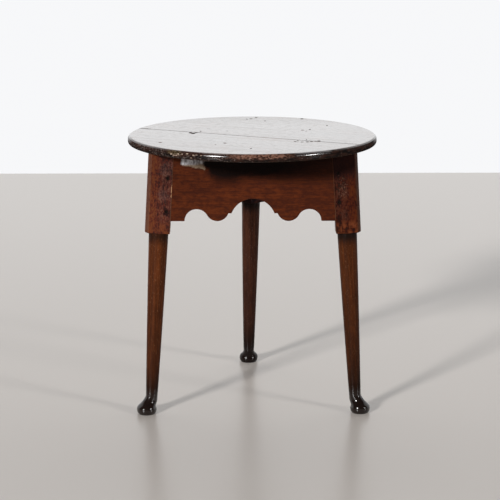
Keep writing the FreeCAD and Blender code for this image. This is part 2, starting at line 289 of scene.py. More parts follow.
def leg_block():
    """The five-sided block, sawn from a billet, with its edges worn round."""
    cuts = [
        (Vector((FACET_OFFSET, 0, 0)), Vector((1, 0, 0))),
        (FACE_NORMAL * BLOCK_FACE_OFFSET, FACE_NORMAL),
        (mirrored(FACE_NORMAL) * BLOCK_FACE_OFFSET, mirrored(FACE_NORMAL)),
        (FACE_ALONG * -BLOCK_END_OFFSET, -FACE_ALONG),
        (mirrored(FACE_ALONG) * -BLOCK_END_OFFSET, -mirrored(FACE_ALONG)),
        (UP * -BLOCK_LENGTH, -UP),
    ]
    bpy.ops.mesh.primitive_cube_add(size=3 * BLOCK_LENGTH)
    block = settle("block")
    for point, normal in cuts:
        saw(block, point, normal)

    def on_edge(corner):
        return lambda point: (Vector((point.x, abs(point.y), 0)) - corner).length < TOUCH_DISTANCE

    worn_edges = (
        (on_edge(FACET_EDGE), 1.0),
        (on_edge(JOINT_EDGE), 0.35),
        (at_height(-BLOCK_LENGTH), 0.8),
    )
    edit(block)
    for test, roundness in worn_edges:
        pick_edges(block, test)
        bpy.ops.transform.edge_bevelweight(value=roundness)
    leave()
    apply_modifier(block, "BEVEL", limit_method="WEIGHT", width=BLOCK_EDGE_ROUND, segments=4)
    settle("block", leg_frame(0))
    saw(block, UP * FRAME_TOP, UP)
    return block


def axis_radius(height):
    """How far a leg's axis is from the table's axis at a height."""
    return LEG_CIRCLE_RADIUS + (FRAME_TOP - height) * math.tan(LEG_RAKE)


def taper_ring(height):
    """The taper's ring at a height: its inner and outer reach, half width and height."""
    share = (BLOCK_FOOT - height) / (BLOCK_FOOT - ANKLE_HEIGHT)
    radius = SHOULDER_RADIUS + (ANKLE_RADIUS - SHOULDER_RADIUS) * share
    radius = radius + 4 * LEG_SWELL * share * (1 - share)
    return Vector((axis_radius(height) - radius, axis_radius(height) + radius, radius, height))


def foot_rings():
    """The rings of the pad foot, from the sole up to the ankle, on a smooth curve."""
    knots = [
        Vector((FOOT_CIRCLE_RADIUS - radius, FOOT_CIRCLE_RADIUS + radius, radius, height))
        for height, radius in FOOT_ROUNDS
    ]
    throat_inner = axis_radius(THROAT_HEIGHT) - ANKLE_RADIUS
    throat_outer = FOOT_CIRCLE_RADIUS + THROAT_REACH
    knots.append(Vector((throat_inner, throat_outer, ANKLE_RADIUS, THROAT_HEIGHT)))
    knots.append(taper_ring(ANKLE_HEIGHT))
    knots.append(taper_ring(2 * ANKLE_HEIGHT - THROAT_HEIGHT))
    rings = knots[:2]
    for before, start, stop, after in zip(knots, knots[1:], knots[2:], knots[3:]):
        leave_start = start + (stop - before) / 6
        reach_stop = stop - (after - start) / 6
        for share in (0.25, 0.5, 0.75, 1):
            rest = 1 - share
            ends = start * rest ** 3 + stop * share ** 3
            rings.append(ends + (leave_start * rest + reach_stop * share) * 3 * rest * share)
    return rings


def leg_turning(sway):
    """The turned taper and pad foot, drawn up ring by ring from the sole into the block."""
    rise = BLOCK_FOOT + BLOCK_EDGE_ROUND - ANKLE_HEIGHT
    rings = foot_rings()
    for step in range(1, TAPER_STEPS + 1):
        rings.append(taper_ring(ANKLE_HEIGHT + rise * step / TAPER_STEPS))

    def middle(ring):
        return Vector(((ring[0] + ring[1]) / 2, (BLOCK_FOOT - ring[3]) * math.tan(sway), ring[3]))

    bpy.ops.mesh.primitive_circle_add(
        vertices=TURNING_SIDES, radius=rings[0][2], fill_type="NGON", location=middle(rings[0])
    )
    turning = settle("turning")
    edit(turning)
    for last, ring in zip(rings, rings[1:]):
        bpy.ops.mesh.extrude_region_move(TRANSFORM_OT_translate={"value": middle(ring) - middle(last)})
        growth = ((ring[1] - ring[0]) / (last[1] - last[0]), ring[2] / last[2], 1)
        bpy.ops.transform.resize(value=growth, center_override=middle(ring))
    face_outward()
    return turning


def leg_shape(sway):
    """A whole leg that stands along X, with its mortises and peg holes."""
    leg = leg_block()
    combine(leg, leg_turning(sway), "UNION")
    for end, levels in TENON_PEGS.items():
        combine(leg, tenon(end, TENON_CLEARANCE, MORTISE_EXTRA_DEPTH, leg_frame(0)), "DIFFERENCE")
        for level in levels:
            combine(leg, tenon_peg_hole(end, level, leg_frame(0)), "DIFFERENCE")
    combine(leg, top_peg_hole(0, LEG_PEG_CIRCLE_RADIUS, 0), "DIFFERENCE")
    smooth(leg)
    return leg


SPOT_RAGGEDNESS = 2.4
SPOT_EDGE = (1.05, 0.75)


class Shade:
    """A value that changes over a surface. Arithmetic on it adds the nodes that work it out."""

    def __init__(self, finish, socket):
        self.finish = finish
        self.socket = socket

    def math(self, operation, first, second):
        return self.finish.node("ShaderNodeMath", {"operation": operation}, {0: first, 1: second})

    def __add__(self, other):
        return self.math("ADD", self, other)

    def __sub__(self, other):
        return self.math("SUBTRACT", self, other)

    def __rsub__(self, other):
        return self.math("SUBTRACT", other, self)

    def __mul__(self, other):
        return self.math("MULTIPLY", self, other)

    def __abs__(self):
        return self.math("ABSOLUTE", self, 0)

    __radd__ = __add__
    __rmul__ = __mul__

    def between(self, low, high):
        """Rises smoothly from 0 at low to 1 at high, or falls where high is below low."""
        return self.finish.node(
            "ShaderNodeMapRange",
            {"interpolation_type": "SMOOTHSTEP"},
            {"Value": self, "From Min": low, "From Max": high},
        )


class Finish:
    """The nodes of one material, or of the world."""

    def __init__(self, owner):
        owner.use_nodes = True
        self.tree = owner.node_tree

    def node(self, kind, settings, sockets, output=0):
        """Add a node with its settings and its sockets' values or links, and give one output."""
        made = self.tree.nodes.new(kind)
        for key, value in settings.items():
            setattr(made, key, value)
        self.feed(made, sockets)
        return Shade(self, made.outputs[output])

    def feed(self, node, sockets):
        """Set or link sockets of a node."""
        for key, value in sockets.items():
            socket = node.inputs[key]
            if isinstance(value, Shade):
                self.tree.links.new(value.socket, socket)
            elif socket.type == "RGBA":
                socket.default_value = (*value, 1)
            else:
                socket.default_value = value

    def mix(self, mask, first, second):
        """A colour that goes from the first to the second with a mask."""
        return self.node("ShaderNodeMix", {"data_type": "RGBA"}, {0: mask, 6: first, 7: second}, 2)

    def coats(self, colour, *coats):
        """A colour under coats of others, each given as its mask and its colour."""
        for mask, coat in coats:
            colour = self.mix(mask, colour, coat)
        return colour

    def place(self, centre=(0, 0, 0), turn=(0, 0, 0)):
        """Where a point of the piece lies, measured from a centre along turned axes."""
        point = self.node("ShaderNodeTexCoord", {}, {}, "Object")
        return self.node(
            "ShaderNodeMapping",
            {"vector_type": "TEXTURE"},
            {"Vector": point, "Location": centre, "Rotation": turn},
        )

    def vectors(self, operation, first, second, output=0):
        """Vector arithmetic."""
        sockets = {0: first, 1: second}
        return self.node("ShaderNodeVectorMath", {"operation": operation}, sockets, output)

    def shifted(self, vector, shift):
        """A place moved, so that each piece is cut from its own stretch of the grain."""
        return self.vectors("ADD", vector, (shift, shift, shift))

    def parts(self, vector):
        """The three components of a vector."""
        return [self.node("ShaderNodeSeparateXYZ", {}, {0: vector}, axis) for axis in range(3)]

    def patches(self, vector, size, detail=4, roughness=0.55):
        """A cloudy pattern, mostly 0.3 to 0.7, with patches of about a size along X, Y and Z."""
        return self.node(
            "ShaderNodeTexNoise",
            {},
            {
                "Vector": self.vectors("DIVIDE", vector, size),
                "Scale": 1,
                "Detail": detail,
                "Roughness": roughness,
            },
        )

    def spot(self, vector, centre, size, ragged):
        """A patch of a size round a centre; ragged is the cloudy pattern that breaks up its edge."""
        offset = self.vectors("DIVIDE", self.vectors("SUBTRACT", vector, centre), size)
        reach = self.vectors("LENGTH", offset, (0, 0, 0), 1)
        return (reach + (ragged - 0.5) * SPOT_RAGGEDNESS).between(*SPOT_EDGE)

    def surface(self, **sockets):
        """Set or link sockets of the shader."""
        sockets = {key.replace("_", " "): value for key, value in sockets.items()}
        self.feed(self.tree.nodes["Principled BSDF"], sockets)

    def bump(self, height, depth):
        """The surface's normal over a height from 0 to 1 that is so deep."""
        return self.node("ShaderNodeBump", {}, {"Height": height, "Distance": depth, "Strength": 1})


def new_finish(name, **sockets):
    """A new material with plain sockets of its shader set; gives the material and its finish."""
    material = bpy.data.materials.new(name)
    finish = Finish(material)
    finish.surface(**sockets)
    return material, finish


def dress(piece, material, node):
    """Put a piece's material first, and let the piece stand for a node on the table's one body."""
    if piece.data.materials:
        piece.data.materials[0] = material
    else:
        piece.data.materials.append(material)
    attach(piece, "root")
    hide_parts(node)


LEG_BROWN = (0.116, 0.0305, 0.0080)
LEG_SHADOWED = (0.050, 0.0135, 0.0042)
LEG_FLECK = (0.190, 0.0850, 0.0420)
BLOCK_RED = (0.100, 0.0195, 0.0115)
BLOCK_ORANGE = (0.158, 0.0420, 0.0150)
BLOCK_DARK = (0.034, 0.0125, 0.0105)
BLOCK_BLACK = (0.014, 0.0050, 0.0048)
BLOCK_SCUFF = (0.125, 0.0740, 0.0640)
FACET_BROWN = (0.118, 0.0460, 0.0250)
BLOCK_WORN = (0.160, 0.0700, 0.0400)
BLOCK_SCRATCH = (0.250, 0.1300, 0.0850)
BLOCK_BARE = (0.500, 0.2700, 0.1400)
FOOT_BLACK = (0.0065, 0.0042, 0.0035)
RAW_OAK = (0.130, 0.0880, 0.0560)
# Each leg's tone. The back leg's, much darker on the shank and block, is painted shade from the table
# above it.
LEG_TONES_AND_SHADE = {
    "back": (0.60, 0.74, 1.4),
    "front_left": (1.05, 1.05, 1.1),
    "front_right": (0.78, 0.80, 0.82),
}
BLOCK_TONES_AND_SHADE = {
    "back": (0.22, 0.24, 0.36),
    "front_left": (0.92, 0.96, 0.98),
    "front_right": (0.48, 0.40, 0.32),
}
FOOT_GLOSS = {"back": 0.25, "front_left": 0.95, "front_right": 0.9}
BLOCK_LOW_GLOW = {"back": 0, "front_left": 0.8, "front_right": 0.8}
BLOCK_TOP_SHADOW = {"back": 0.85, "front_left": 0.05, "front_right": 0.85}
SHOULDER_SHADE = {"back": 0.9, "front_left": 0.75, "front_right": 0.9}
BLOCK_SCUFFS = {
    "back": ((0, -0.090, 0.020),),
    "front_left": ((-0.011, -0.046, 0.019), (-0.006, -0.108, 0.016)),
    "front_right": ((-0.008, -0.100, 0.017), (-0.004, -0.160, 0.013)),
}
SCRATCHED_PLACES = {
    "back": ((0.030, 0, -0.120), (0.012, 0.012, 0.030)),
    "front_left": ((0.004, 0.027, -0.060), (0.009, 0.009, 0.018)),
    "front_right": ((0.007, -0.0256, -0.092), (0.013, 0.013, 0.032)),
}
BARE_STREAKS = {-0.092: (0.0022, 0.0022, 0.011), -0.110: (0.0022, 0.0022, 0.004)}
TAPER_DARKENS = (-0.24, -0.56)
ANKLE_DARKENS = (-0.52, -0.64)
FOOT_SHINES = (-0.600, -0.635)
SHOULDER_SHADE_EDGE = (-BLOCK_LENGTH - 0.038, -BLOCK_LENGTH - 0.006)
BLOCK_FOOT_EDGE = (-BLOCK_LENGTH - 0.001, -BLOCK_LENGTH + 0.001)
BLOCK_LOW_END = (-0.168, -0.188)
BLOCK_TOP_SHADOW_EDGE = (-0.085, -0.045)
PEG_STAIN = (0.008, 0.008, 0.011)
SCRATCH_SLANT = 0.45
WORN_EDGE_WIDTHS = ((FACET_EDGE, 0.0030), (JOINT_EDGE, 0.0016))
FACET_SHADE_EDGE = (FACET_OFFSET - 0.0012, FACET_OFFSET - 0.0004)
JOINT_RAW_EDGE = (-BLOCK_END_OFFSET + 0.001, -BLOCK_END_OFFSET + 0.0003)
JOINT_RAW_FOOT = (-0.178, -0.172)


def raw_oak(finish, streaks, dark):
    """Oak left raw where it is out of sight, streaked along its grain."""
    return finish.mix(streaks.between(0.35, 0.65), dark, RAW_OAK)


def leg_oak(name, angle, shift):
    """Waxed oak of one leg: grain up the leg, dark at its foot and worn pale on the block's edges."""
    material, finish = new_finish(
        "leg_oak_" + name, IOR=1.5, Coat_Roughness=0.12, Specular_IOR_Level=0.05
    )
    own = finish.place(leg_frame(angle).translation, (0, -LEG_RAKE, angle))
    x, y, z = finish.parts(own)
    drawn = finish.shifted(own, shift)
    streaks = finish.patches(drawn, (0.005, 0.005, 0.22), 4, 0.6)
    fibres = finish.patches(drawn, (0.0012, 0.0012, 0.025), 2)
    mottle = finish.patches(drawn, (0.012, 0.012, 0.020), 4, 0.65)
    specks = finish.patches(drawn, (0.0038, 0.0038, 0.0055), 3, 0.6)

    def leg_tone_and_shade(colour):
        return [channel * share for channel, share in zip(colour, LEG_TONES_AND_SHADE[name])]

    def block_tone_and_shade(colour):
        return [channel * share for channel, share in zip(colour, BLOCK_TONES_AND_SHADE[name])]

    # The turned taper and the foot
    grain = streaks * 0.6 + fibres * 0.4
    clouds = finish.patches(drawn, (0.016, 0.016, 0.040), 4, 0.65)
    flecks = finish.patches(drawn, (0.0022, 0.0022, 0.005), 2)
    ankle = z.between(*ANKLE_DARKENS)
    # Painted shade: the taper darkens just under the block's overhang.
    shoulder_shade = z.between(*SHOULDER_SHADE_EDGE) * mottle.between(0.24, 0.42)
    turned = finish.coats(
        leg_tone_and_shade(LEG_SHADOWED),
        (grain.between(0.38, 0.62), leg_tone_and_shade(LEG_BROWN)),
        (clouds.between(0.47, 0.62) * 0.55, leg_tone_and_shade(LEG_SHADOWED)),
        (flecks.between(0.60, 0.70) * 0.6, leg_tone_and_shade(LEG_FLECK)),
        (z.between(*TAPER_DARKENS) * 0.38, FOOT_BLACK),
        (ankle * 0.93, FOOT_BLACK),
        (shoulder_shade * SHOULDER_SHADE[name], FOOT_BLACK),
    )

    # The sawn block: its patches, scuffs, painted shadow of the top, peg stains and scratches
    along = FACE_ALONG.x * x + FACE_ALONG.y * abs(y)
    patch = mottle * 0.42 + streaks * 0.16 + specks * 0.42 + along.between(-0.010, 0.022) * 0.05
    low_end = z.between(*BLOCK_LOW_END)
    sawn = finish.coats(
        block_tone_and_shade(BLOCK_DARK),
        (patch.between(0.44, 0.52), block_tone_and_shade(BLOCK_RED)),
        (patch.between(0.51, 0.61), block_tone_and_shade(BLOCK_ORANGE)),
        (low_end * mottle.between(0.40, 0.58) * BLOCK_LOW_GLOW[name], BLOCK_ORANGE),
        (fibres.between(0.52, 0.36) * 0.45, block_tone_and_shade(BLOCK_DARK)),
    )
    grit = (specks * 0.6 + fibres * 0.4).between(0.44, 0.56)
    for aside, level, reach in BLOCK_SCUFFS[name]:
        for end in TENON_PEGS:
            normal, sideways = block_side(end)
            middle = normal * BLOCK_FACE_OFFSET + sideways * aside + UP * level
            rubbed = finish.spot(own, middle, (reach, reach, reach * 1.2), specks)
            sawn = finish.mix(rubbed * grit * 0.4, sawn, block_tone_and_shade(BLOCK_SCUFF))
    rubbed = along.between(0.012, -0.006) * mottle.between(0.44, 0.56) * (1 - low_end)
    fine_grit = finish.patches(drawn, (0.0020, 0.0020, 0.0030), 2)
    # Painted shadow of the top: the block's upper end darkens to black under it.
    block_top_shadow = (z + (mottle - 0.5) * 0.06).between(*BLOCK_TOP_SHADOW_EDGE) * BLOCK_TOP_SHADOW[name]
    sawn = finish.coats(
        sawn,
        (rubbed * grit * 0.4, block_tone_and_shade(BLOCK_SCUFF)),
        (fine_grit.between(0.58, 0.70) * 0.35, block_tone_and_shade(BLOCK_WORN)),
        (block_top_shadow, BLOCK_BLACK),
    )
    for end, levels in TENON_PEGS.items():
        for level in levels:
            stain = finish.spot(own, peg_mouth(end, level), PEG_STAIN, specks)
            sawn = finish.mix(stain * 0.6, sawn, BLOCK_BLACK)
    slanted = finish.place(leg_frame(angle).translation, (SCRATCH_SLANT, -LEG_RAKE, angle))
    scratches = finish.patches(slanted, (0.0016, 0.0016, 0.011), 2).between(0.58, 0.66)
    scratched_place, scratched_size = SCRATCHED_PLACES[name]
    scratched = finish.spot(own, scratched_place, scratched_size, specks)
    sawn = finish.mix(scratches * scratched * 0.5, sawn, BLOCK_SCRATCH)

    # The block's worn edges and outer facet
    flank = finish.vectors("MULTIPLY", finish.vectors("ABSOLUTE", own, (0, 0, 0)), (1, 1, 0))
    worn_edges = 0
    for edge, width in WORN_EDGE_WIDTHS:
        mirror_edge = (abs(edge.x), abs(edge.y), 0)
        reach = finish.vectors("DISTANCE", flank, mirror_edge, 1)
        worn_edges = worn_edges + reach.between(width, width / 3)
    worn_edges = worn_edges * mottle.between(0.3, 0.5) * (1 - block_top_shadow * 0.8)
    facet = x.between(*FACET_SHADE_EDGE)
    facet_shade = finish.mix(patch.between(0.40, 0.56), block_tone_and_shade(BLOCK_RED), block_tone_and_shade(FACET_BROWN))
    sawn = finish.coats(
        sawn,
        (worn_edges * 0.7, block_tone_and_shade(BLOCK_WORN)),
        (facet * 0.6, facet_shade),
    )
    if name == "front_left":
        for level, size in BARE_STREAKS.items():
            bare = finish.spot(own, JOINT_EDGE + UP * level, size, specks)
            sawn = finish.mix(bare, sawn, BLOCK_BARE)

    # The raw face that the frieze covers
    raw = along.between(*JOINT_RAW_EDGE) * z.between(*JOINT_RAW_FOOT)
    sawn = finish.mix(raw, sawn, raw_oak(finish, streaks, LEG_BROWN))
    block = z.between(*BLOCK_FOOT_EDGE)
    relief = streaks * 0.25 + fibres * 0.25 + block * (mottle * 0.3 + specks * 0.2)
    finish.surface(
        Base_Color=finish.mix(block, turned, sawn),
        Roughness=0.5 - ankle * 0.2 - fibres * 0.15 + raw * 0.3,
        Coat_Weight=z.between(*FOOT_SHINES) * FOOT_GLOSS[name],
        Normal=finish.bump(relief, 0.0006),
    )
    return material


for count, (leg_name, leg_angle) in enumerate(LEG_ANGLES.items()):
    leg_shape(LEG_SWAYS[leg_name])
    leg = settle("oak_leg_" + leg_name, Matrix.Rotation(leg_angle, 4, "Z"))
    dress(leg, leg_oak(leg_name, leg_angle, count), "leg_" + leg_name)

# Friezes
# Three oak boards, each sawn along its lower edge to a pattern struck with compasses: a notch and
# a lobe at each end and a wide arch in the middle. A tenon at each end goes into the leg's block.
FRIEZE_ANGLES = {"left": math.radians(150), "front": math.radians(270), "right": math.radians(30)}
FRIEZE_PEG_PLACES = {"left": -0.025, "front": -0.069, "right": -0.011}
FRIEZE_HEIGHT = 0.1735
FRIEZE_THICKNESS = 0.020
FRIEZE_FOOT_LENGTH = 0.035
FRIEZE_EDGE_ROUND = 0.0011
NOTCH_RADIUS = 0.030
LOBE_RADIUS = 0.029
QUIRK_HEIGHT = 0.0195
QUIRK_WIDTH = 0.008
ARCH_RISE = 0.056
ARC_STEPS = 14
PATTERN_MERGE_DISTANCE = 0.00001
FACE_LEAN = math.asin(math.cos(face_angle) * math.sin(LEG_RAKE))
FACE_DISTANCE = (
    LEG_CIRCLE_RADIUS * math.cos(BETWEEN_FRIEZE_AND_LEG) + BLOCK_FACE_OFFSET / math.cos(FACE_LEAN)
)
FRIEZE_MIDDLE = FACE_DISTANCE - FRIEZE_THICKNESS / 2
FRIEZE_ENDS = {
    "left": leg_frame(-BETWEEN_FRIEZE_AND_LEG),
    "right": leg_frame(BETWEEN_FRIEZE_AND_LEG),
}
along_face = Vector((0, 1, 0))
up_face = Vector((-math.sin(FACE_LEAN), 0, math.cos(FACE_LEAN)))
FRIEZE_FRAME = (
    Matrix.Translation((FACE_DISTANCE, 0, FRAME_TOP))
    @ Matrix((along_face, up_face, along_face.cross(up_face))).transposed().to_4x4()
)


def copied(piece, name, place=Matrix.Identity(4)):
    """A copy of a piece with its own mesh, moved by a matrix."""
    only(piece)
    bpy.ops.object.duplicate()
    return settle(name, place)


def draw_line(pen, to):
    """Draw on from the pen to a point."""
    bpy.ops.mesh.extrude_vertices_move(TRANSFORM_OT_translate={"value": to - pen})
    return to


def draw_arc(pen, to, centre):
    """Draw on from the pen to a point, round a centre."""
    first = pen - centre
    last = to - centre
    swing = math.atan2(first.cross(last).z, first.dot(last))
    bpy.ops.mesh.spin(steps=ARC_STEPS, angle=-swing, center=centre, axis=UP)
    return to


def frieze_blank():
    """The frieze's board with its sawn lower edge, in the frieze's own frame."""
    low = -FRIEZE_HEIGHT
    normal, along = block_side("right")
    joint_foot = normal * BLOCK_FACE_OFFSET - along * BLOCK_END_OFFSET - UP * FRIEZE_HEIGHT
    joint_place = (FRIEZE_FRAME.inverted() @ FRIEZE_ENDS["right"] @ joint_foot).x
    notch = Vector((joint_place - FRIEZE_FOOT_LENGTH - NOTCH_RADIUS, low, 0))
    notch_to_lobe = math.sqrt(NOTCH_RADIUS ** 2 + 2 * NOTCH_RADIUS * LOBE_RADIUS)
    lobe = Vector((notch.x - notch_to_lobe, low + LOBE_RADIUS, 0))
    meeting = notch + (lobe - notch) * (NOTCH_RADIUS / (NOTCH_RADIUS + LOBE_RADIUS))
    lobe_reach = math.sqrt(LOBE_RADIUS ** 2 - (LOBE_RADIUS - QUIRK_HEIGHT) ** 2)
    lobe_end = Vector((lobe.x - lobe_reach, low + QUIRK_HEIGHT, 0))
    arch_end = lobe_end - Vector((QUIRK_WIDTH, 0, 0))
    crown = Vector((0, low + ARCH_RISE, 0))
    arch_height = crown.y - arch_end.y
    arch_radius = (arch_end.x ** 2 + arch_height ** 2) / (2 * arch_height)
    far_foot = Vector((joint_place + BLOCK_END_OFFSET, low, 0))
    far_top = Vector((far_foot.x, FRIEZE_THICKNESS, 0))

    bpy.ops.mesh.primitive_plane_add(size=QUIRK_WIDTH)
    blank = settle("frieze")
    edit(blank)
    bpy.ops.mesh.merge(type="CENTER")
    bpy.ops.transform.translate(value=crown)
    pen = draw_arc(crown, arch_end, crown - Vector((0, arch_radius, 0)))
    pen = draw_line(pen, lobe_end)
    pen = draw_arc(pen, lobe - Vector((0, LOBE_RADIUS, 0)), lobe)
    pen = draw_arc(pen, meeting, lobe)
    pen = draw_arc(pen, notch + Vector((0, NOTCH_RADIUS, 0)), notch)
    pen = draw_arc(pen, notch + Vector((NOTCH_RADIUS, 0, 0)), notch)
    pen = draw_line(pen, far_foot)
    pen = draw_line(pen, far_top)
    draw_line(pen, Vector((0, far_top.y, 0)))
    bpy.ops.mesh.select_all(action="SELECT")
    bpy.ops.mesh.duplicate()
    bpy.ops.transform.resize(value=(-1, 1, 1), center_override=(0, 0, 0))
    bpy.ops.mesh.select_all(action="SELECT")
    bpy.ops.mesh.remove_doubles(threshold=PATTERN_MERGE_DISTANCE)
    bpy.ops.mesh.edge_face_add()
    bpy.ops.mesh.extrude_region_move(TRANSFORM_OT_translate={"value": (0, 0, -FRIEZE_THICKNESS)})
    face_outward()
    return blank


def frieze_shape():
    """A frieze that faces along X, cut to its blocks and tenoned, with the holes for its pegs."""
    frieze = frieze_blank()
    settle("frieze", FRIEZE_FRAME)
    saw(frieze, UP * FRAME_TOP, UP)
    for end, place in FRIEZE_ENDS.items():
        along = block_side(end)[1]
        saw(frieze, place @ (along * -BLOCK_END_OFFSET), place.to_3x3() @ along)
    apply_modifier(
        frieze,
        "BEVEL",
        limit_method="ANGLE",
        angle_limit=math.radians(40),
        width=FRIEZE_EDGE_ROUND,
        segments=3,
    )
    for end, place in FRIEZE_ENDS.items():
        combine(frieze, tenon(end, 0, 0, place), "UNION")
        for level in TENON_PEGS[end]:
            combine(frieze, tenon_peg_hole(end, level, place), "DIFFERENCE")
    return frieze


FRIEZE_BROWN = (0.046, 0.0098, 0.0040)
FRIEZE_RED = (0.096, 0.0200, 0.0052)
FRIEZE_GLOW = (0.135, 0.0340, 0.0100)
FRIEZE_DARK = (0.026, 0.0060, 0.0026)
FRIEZE_SHADOW_BLACK = (0.0025, 0.0012, 0.0010)
FRIEZE_PALE_PATCH = (0.780, 0.775, 0.810)
FRIEZE_GREY = (0.270, 0.255, 0.270)
FRIEZE_OLIVE = (0.260, 0.190, 0.130)
FRIEZE_RAW = (0.075, 0.045, 0.026)
PALE_PATCH_MIDDLE = -0.148
PALE_PATCH_HALF_LENGTH = 0.031
PALE_PATCH_FOOT = 0.630
PALE_PATCH_SLOPE = 0.2
TOP_SHADOW_DEPTH = 0.0645
TOP_SHADOW_SLOPE = -0.02
TOP_SHADOW_SAG = 0.012
TOP_SHADOW_SAG_PLACE = (-0.068, 0.045)
TOP_SHADOW_LEFT = -0.1395
TOP_SHADOW_LEFT_SLANT = 0.5
TOP_SHADOW_EDGE = (-0.018, 0.016)
FRIEZE_RAW_EDGE = (FRIEZE_THICKNESS - 0.002, FRIEZE_THICKNESS - 0.0005)


def frieze_oak(name, angle, shift):
    """Waxed red-brown oak of one frieze, grain along it, and the top's shadow painted as a black band.
    """
    material, finish = new_finish("frieze_oak_" + name, IOR=1.5, Specular_IOR_Level=0.08)
    own = finish.place((0, 0, 0), (0, 0, angle + math.radians(90)))
    x, y, z = finish.parts(own)
    drawn = finish.shifted(own, shift)
    streaks = finish.patches(drawn, (0.2, 0.006, 0.006), 4, 0.6)
    fibres = finish.patches(drawn, (0.03, 0.0014, 0.0014), 2)
    mottle = finish.patches(drawn, (0.035, 0.02, 0.018), 5, 0.6)
    specks = finish.patches(drawn, (0.009, 0.005, 0.005), 3, 0.6)
    tone = streaks * 0.2 + fibres * 0.25 + mottle * 0.3 + specks * 0.25 - x.between(0, 0.16) * 0.03
    colour = finish.coats(
        FRIEZE_BROWN,
        (tone.between(0.43, 0.57), FRIEZE_RED),
        ((tone * 0.7 + specks * 0.3).between(0.54, 0.64) * 0.6, FRIEZE_GLOW),
        (specks.between(0.56, 0.7) * 0.35, FRIEZE_DARK),
    )

    # The top's shadow is painted on: a black band under the top, with a ragged lower edge.
    below = FRAME_TOP - z
    ragged = specks - 0.5
    shadow_jitter = (mottle - 0.5) * 0.05 + ragged * 0.014
    sag_middle, sag_reach = TOP_SHADOW_SAG_PLACE
    sag = abs(x - sag_middle).between(sag_reach, sag_reach / 3) * TOP_SHADOW_SAG
    above_edge = TOP_SHADOW_DEPTH - TOP_SHADOW_SLOPE * x + sag - below + shadow_jitter
    frieze_top_shadow = (above_edge * (1 - x.between(0, 0.12) * 0.4)).between(*TOP_SHADOW_EDGE)
    frieze_top_shadow = frieze_top_shadow * (1 - x.between(0.05, 0.22) * 0.35)
    if name == "front":
        left_edge = x - TOP_SHADOW_LEFT_SLANT * below + shadow_jitter * 0.9
        frieze_top_shadow = frieze_top_shadow * left_edge.between(TOP_SHADOW_LEFT - 0.005, TOP_SHADOW_LEFT + 0.013)
    colour = finish.mix(frieze_top_shadow * 0.95, colour, FRIEZE_SHADOW_BLACK)
    # A pale grey-white patch just under the top at the left of the front frieze, olive along its lower
    # edge.
    if name == "front":
        aside = x - PALE_PATCH_MIDDLE
        height = z - PALE_PATCH_FOOT + aside * PALE_PATCH_SLOPE
        pale_patch = (PALE_PATCH_HALF_LENGTH - abs(aside) + ragged * 0.012).between(0, 0.003)
        pale_patch = pale_patch * (height + ragged * 0.014).between(-0.001, 0.003) * (1 - frieze_top_shadow)
        dabs = finish.patches(drawn, (0.005, 0.005, 0.014), 3, 0.6)
        pale_patch_colour = finish.mix(dabs.between(0.40, 0.58), FRIEZE_GREY, FRIEZE_PALE_PATCH)
        olive = (height - aside * 0.3 + (mottle - 0.5) * 0.02).between(0.013, 0.005)
        colour = finish.mix(pale_patch * 0.92, colour, finish.mix(olive, pale_patch_colour, FRIEZE_OLIVE))

    depth = y + FACE_DISTANCE + below * math.tan(FACE_LEAN)
    raw = depth.between(*FRIEZE_RAW_EDGE)
    colour = finish.mix(raw, colour, raw_oak(finish, streaks, FRIEZE_RAW))
    finish.surface(
        Base_Color=colour,
        Roughness=0.5 - fibres * 0.15 + raw * 0.25,
        Normal=finish.bump(streaks * 0.4 + fibres * 0.6, 0.0004),
    )
    return material


frieze_pattern = frieze_shape()
for count, (frieze_name, frieze_angle) in enumerate(FRIEZE_ANGLES.items()):
    frieze = copied(frieze_pattern, "oak_frieze_" + frieze_name)
    combine(frieze, top_peg_hole(0, FRIEZE_MIDDLE, FRIEZE_PEG_PLACES[frieze_name]), "DIFFERENCE")
    smooth(frieze)
    settle(frieze.name, Matrix.Rotation(frieze_angle, 4, "Z"))
    dress(frieze, frieze_oak(frieze_name, frieze_angle, count), "frieze_" + frieze_name)
bpy.data.objects.remove(frieze_pattern)

# Tenon pegs
# Twelve pegs of split oak, shaved round and driven through the blocks and the tenons. They have
# shrunk a little below the faces, and their end grain is black with wax and dirt.
TENON_PEG_SUNK = 0.0014
PEG_SIDES = 20
PEG_BLACK = (0.004, 0.0026, 0.002)
PEG_BROWN = (0.030, 0.013, 0.007)


def whittled_peg(radius, length):
    """A peg that stands on its point, with a domed head and a whittled point."""
    bpy.ops.mesh.primitive_cylinder_add(
        vertices=PEG_SIDES, radius=radius, depth=length, location=(0, 0, length / 2)
    )
    peg = settle("peg")
    edit(peg)
    pick_edges(peg, at_height(length))
    bpy.ops.mesh.bevel(offset=radius / 5, segments=2, affect="EDGES")
    pick_edges(peg, at_height(0))
    bpy.ops.mesh.bevel(offset=radius / 3, segments=1, affect="EDGES")
    leave()
    smooth(peg)
    return peg


def peg_oak():
    """End grain and sides of the pegs, black in the pores."""
    material, finish = new_finish("peg_oak", IOR=1.5, Specular_IOR_Level=0.08)
    own = finish.place()
    pores = finish.patches(own, (0.0008, 0.0008, 0.0008), 3, 0.6)
    grain = finish.patches(own, (0.003, 0.003, 0.003), 3, 0.6)
    finish.surface(
        Base_Color=finish.mix((pores * 0.5 + grain * 0.5).between(0.45, 0.7), PEG_BLACK, PEG_BROWN),
        Roughness=0.75 - grain * 0.2,
        Normal=finish.bump(pores, 0.0003),
    )
    return material


